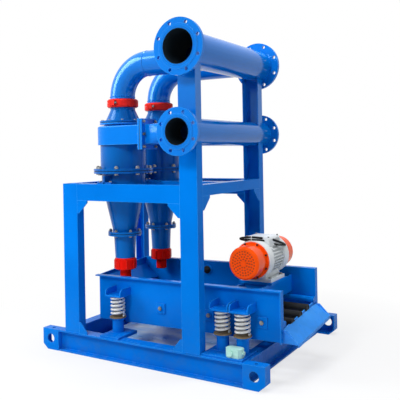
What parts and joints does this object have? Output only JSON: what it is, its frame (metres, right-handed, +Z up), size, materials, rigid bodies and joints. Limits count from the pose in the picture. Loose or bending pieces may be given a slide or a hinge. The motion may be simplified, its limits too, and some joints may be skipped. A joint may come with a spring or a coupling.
{
  "type": "desander",
  "caption": "Skid desander: hydrocyclones on a frame feed a sprung vibrating screen box with an eccentric motor, between an inlet manifold and an outlet header",
  "frame": {"origin": "middle of the whole outline, on the ground under the skid", "axes": "+Z up, +X along the skid to the discharge end, +Y from the flange side at the front to the back"},
  "size_m": [1.813, 1.374, 2.134],
  "materials": {
    "blue_paint": "gloss",
    "red_paint": "gloss",
    "orange_paint": "gloss",
    "grey_paint": "satin",
    "mint_plastic": "matte",
    "black_rubber": "matte",
    "white_paint": "satin",
    "cast_steel": "machined",
    "zinc_steel": "zinc plated",
    "pan_sheet": "galvanized",
    "red_polyurethane": "satin"
  },
  "bodies": {
    "skid_frame": {"apex_cones": "blue_paint", "apex_nozzles": "red_polyurethane", "apex_nuts": "red_polyurethane", "corner_blocks_front": "blue_paint", "corner_blocks_rear": "blue_paint", "cyclone_barrels": "blue_paint", "cyclone_bolts": "zinc_steel", "cyclone_cone_1": "blue_paint", "cyclone_cone_2": "blue_paint", "drip_pan": "pan_sheet", "elbow_couplings": "red_paint", "feed_head_1": "blue_paint", "feed_head_2": "blue_paint", "flange_gaskets": "black_rubber", "frame_corner_plates": "blue_paint", "front_beam": "blue_paint", "front_rail": "blue_paint", "header_stubs": "blue_paint", "inlet_manifold": "blue_paint", "inlet_transitions": "blue_paint", "inner_rail": "blue_paint", "junction_box": "mint_plastic", "left_end_rail": "blue_paint", "middle_beam": "blue_paint", "outlet_elbow_1": "blue_paint", "outlet_elbow_2": "blue_paint", "outlet_header": "blue_paint", "post_front_left": "blue_paint", "post_front_right": "blue_paint", "post_rear_left": "blue_paint", "post_rear_right": "blue_paint", "rear_beam": "blue_paint", "rear_rail": "blue_paint", "right_end_rail": "blue_paint", "side_beams": "blue_paint", "spring_pads": "black_rubber", "spring_pedestals": "blue_paint", "spring_seats": "blue_paint", "top_covers": "blue_paint", "vortex_finders": "red_polyurethane", "coil_springs": "white_paint"},
    "screen_box": {"box_bolts": "zinc_steel", "deck_cross_tubes": "blue_paint", "deck_stringers": "black_rubber", "discharge_lip": "blue_paint", "feed_end_wall": "blue_paint", "motor_bridge": "blue_paint", "motor_cables": "black_rubber", "motor_caps": "orange_paint", "motor_case": "grey_paint", "screen_bars": "blue_paint", "side_plate_front": "blue_paint", "side_plate_rear": "blue_paint", "spring_brackets": "blue_paint", "tension_plates": "blue_paint", "terminal_box": "grey_paint"},
    "rotor": {"motor_shaft": "cast_steel", "eccentric_weights": "cast_steel"}
  },
  "joints": [
    {"name": "screen_shake", "type": "slide", "parent": "skid_frame", "child": "screen_box", "axis": [0, 0, 1], "range_m": [-0.006, 0.006], "stiffness_N_per_m": 400000, "springref_m": 0.00758, "deforming": ["coil_springs"]},
    {"name": "rotor_turn", "type": "hinge", "parent": "screen_box", "child": "rotor", "pos_m": [0.5585, -0.371, 0.667], "axis": [0, 1, 0], "continuous": true}
  ]
}
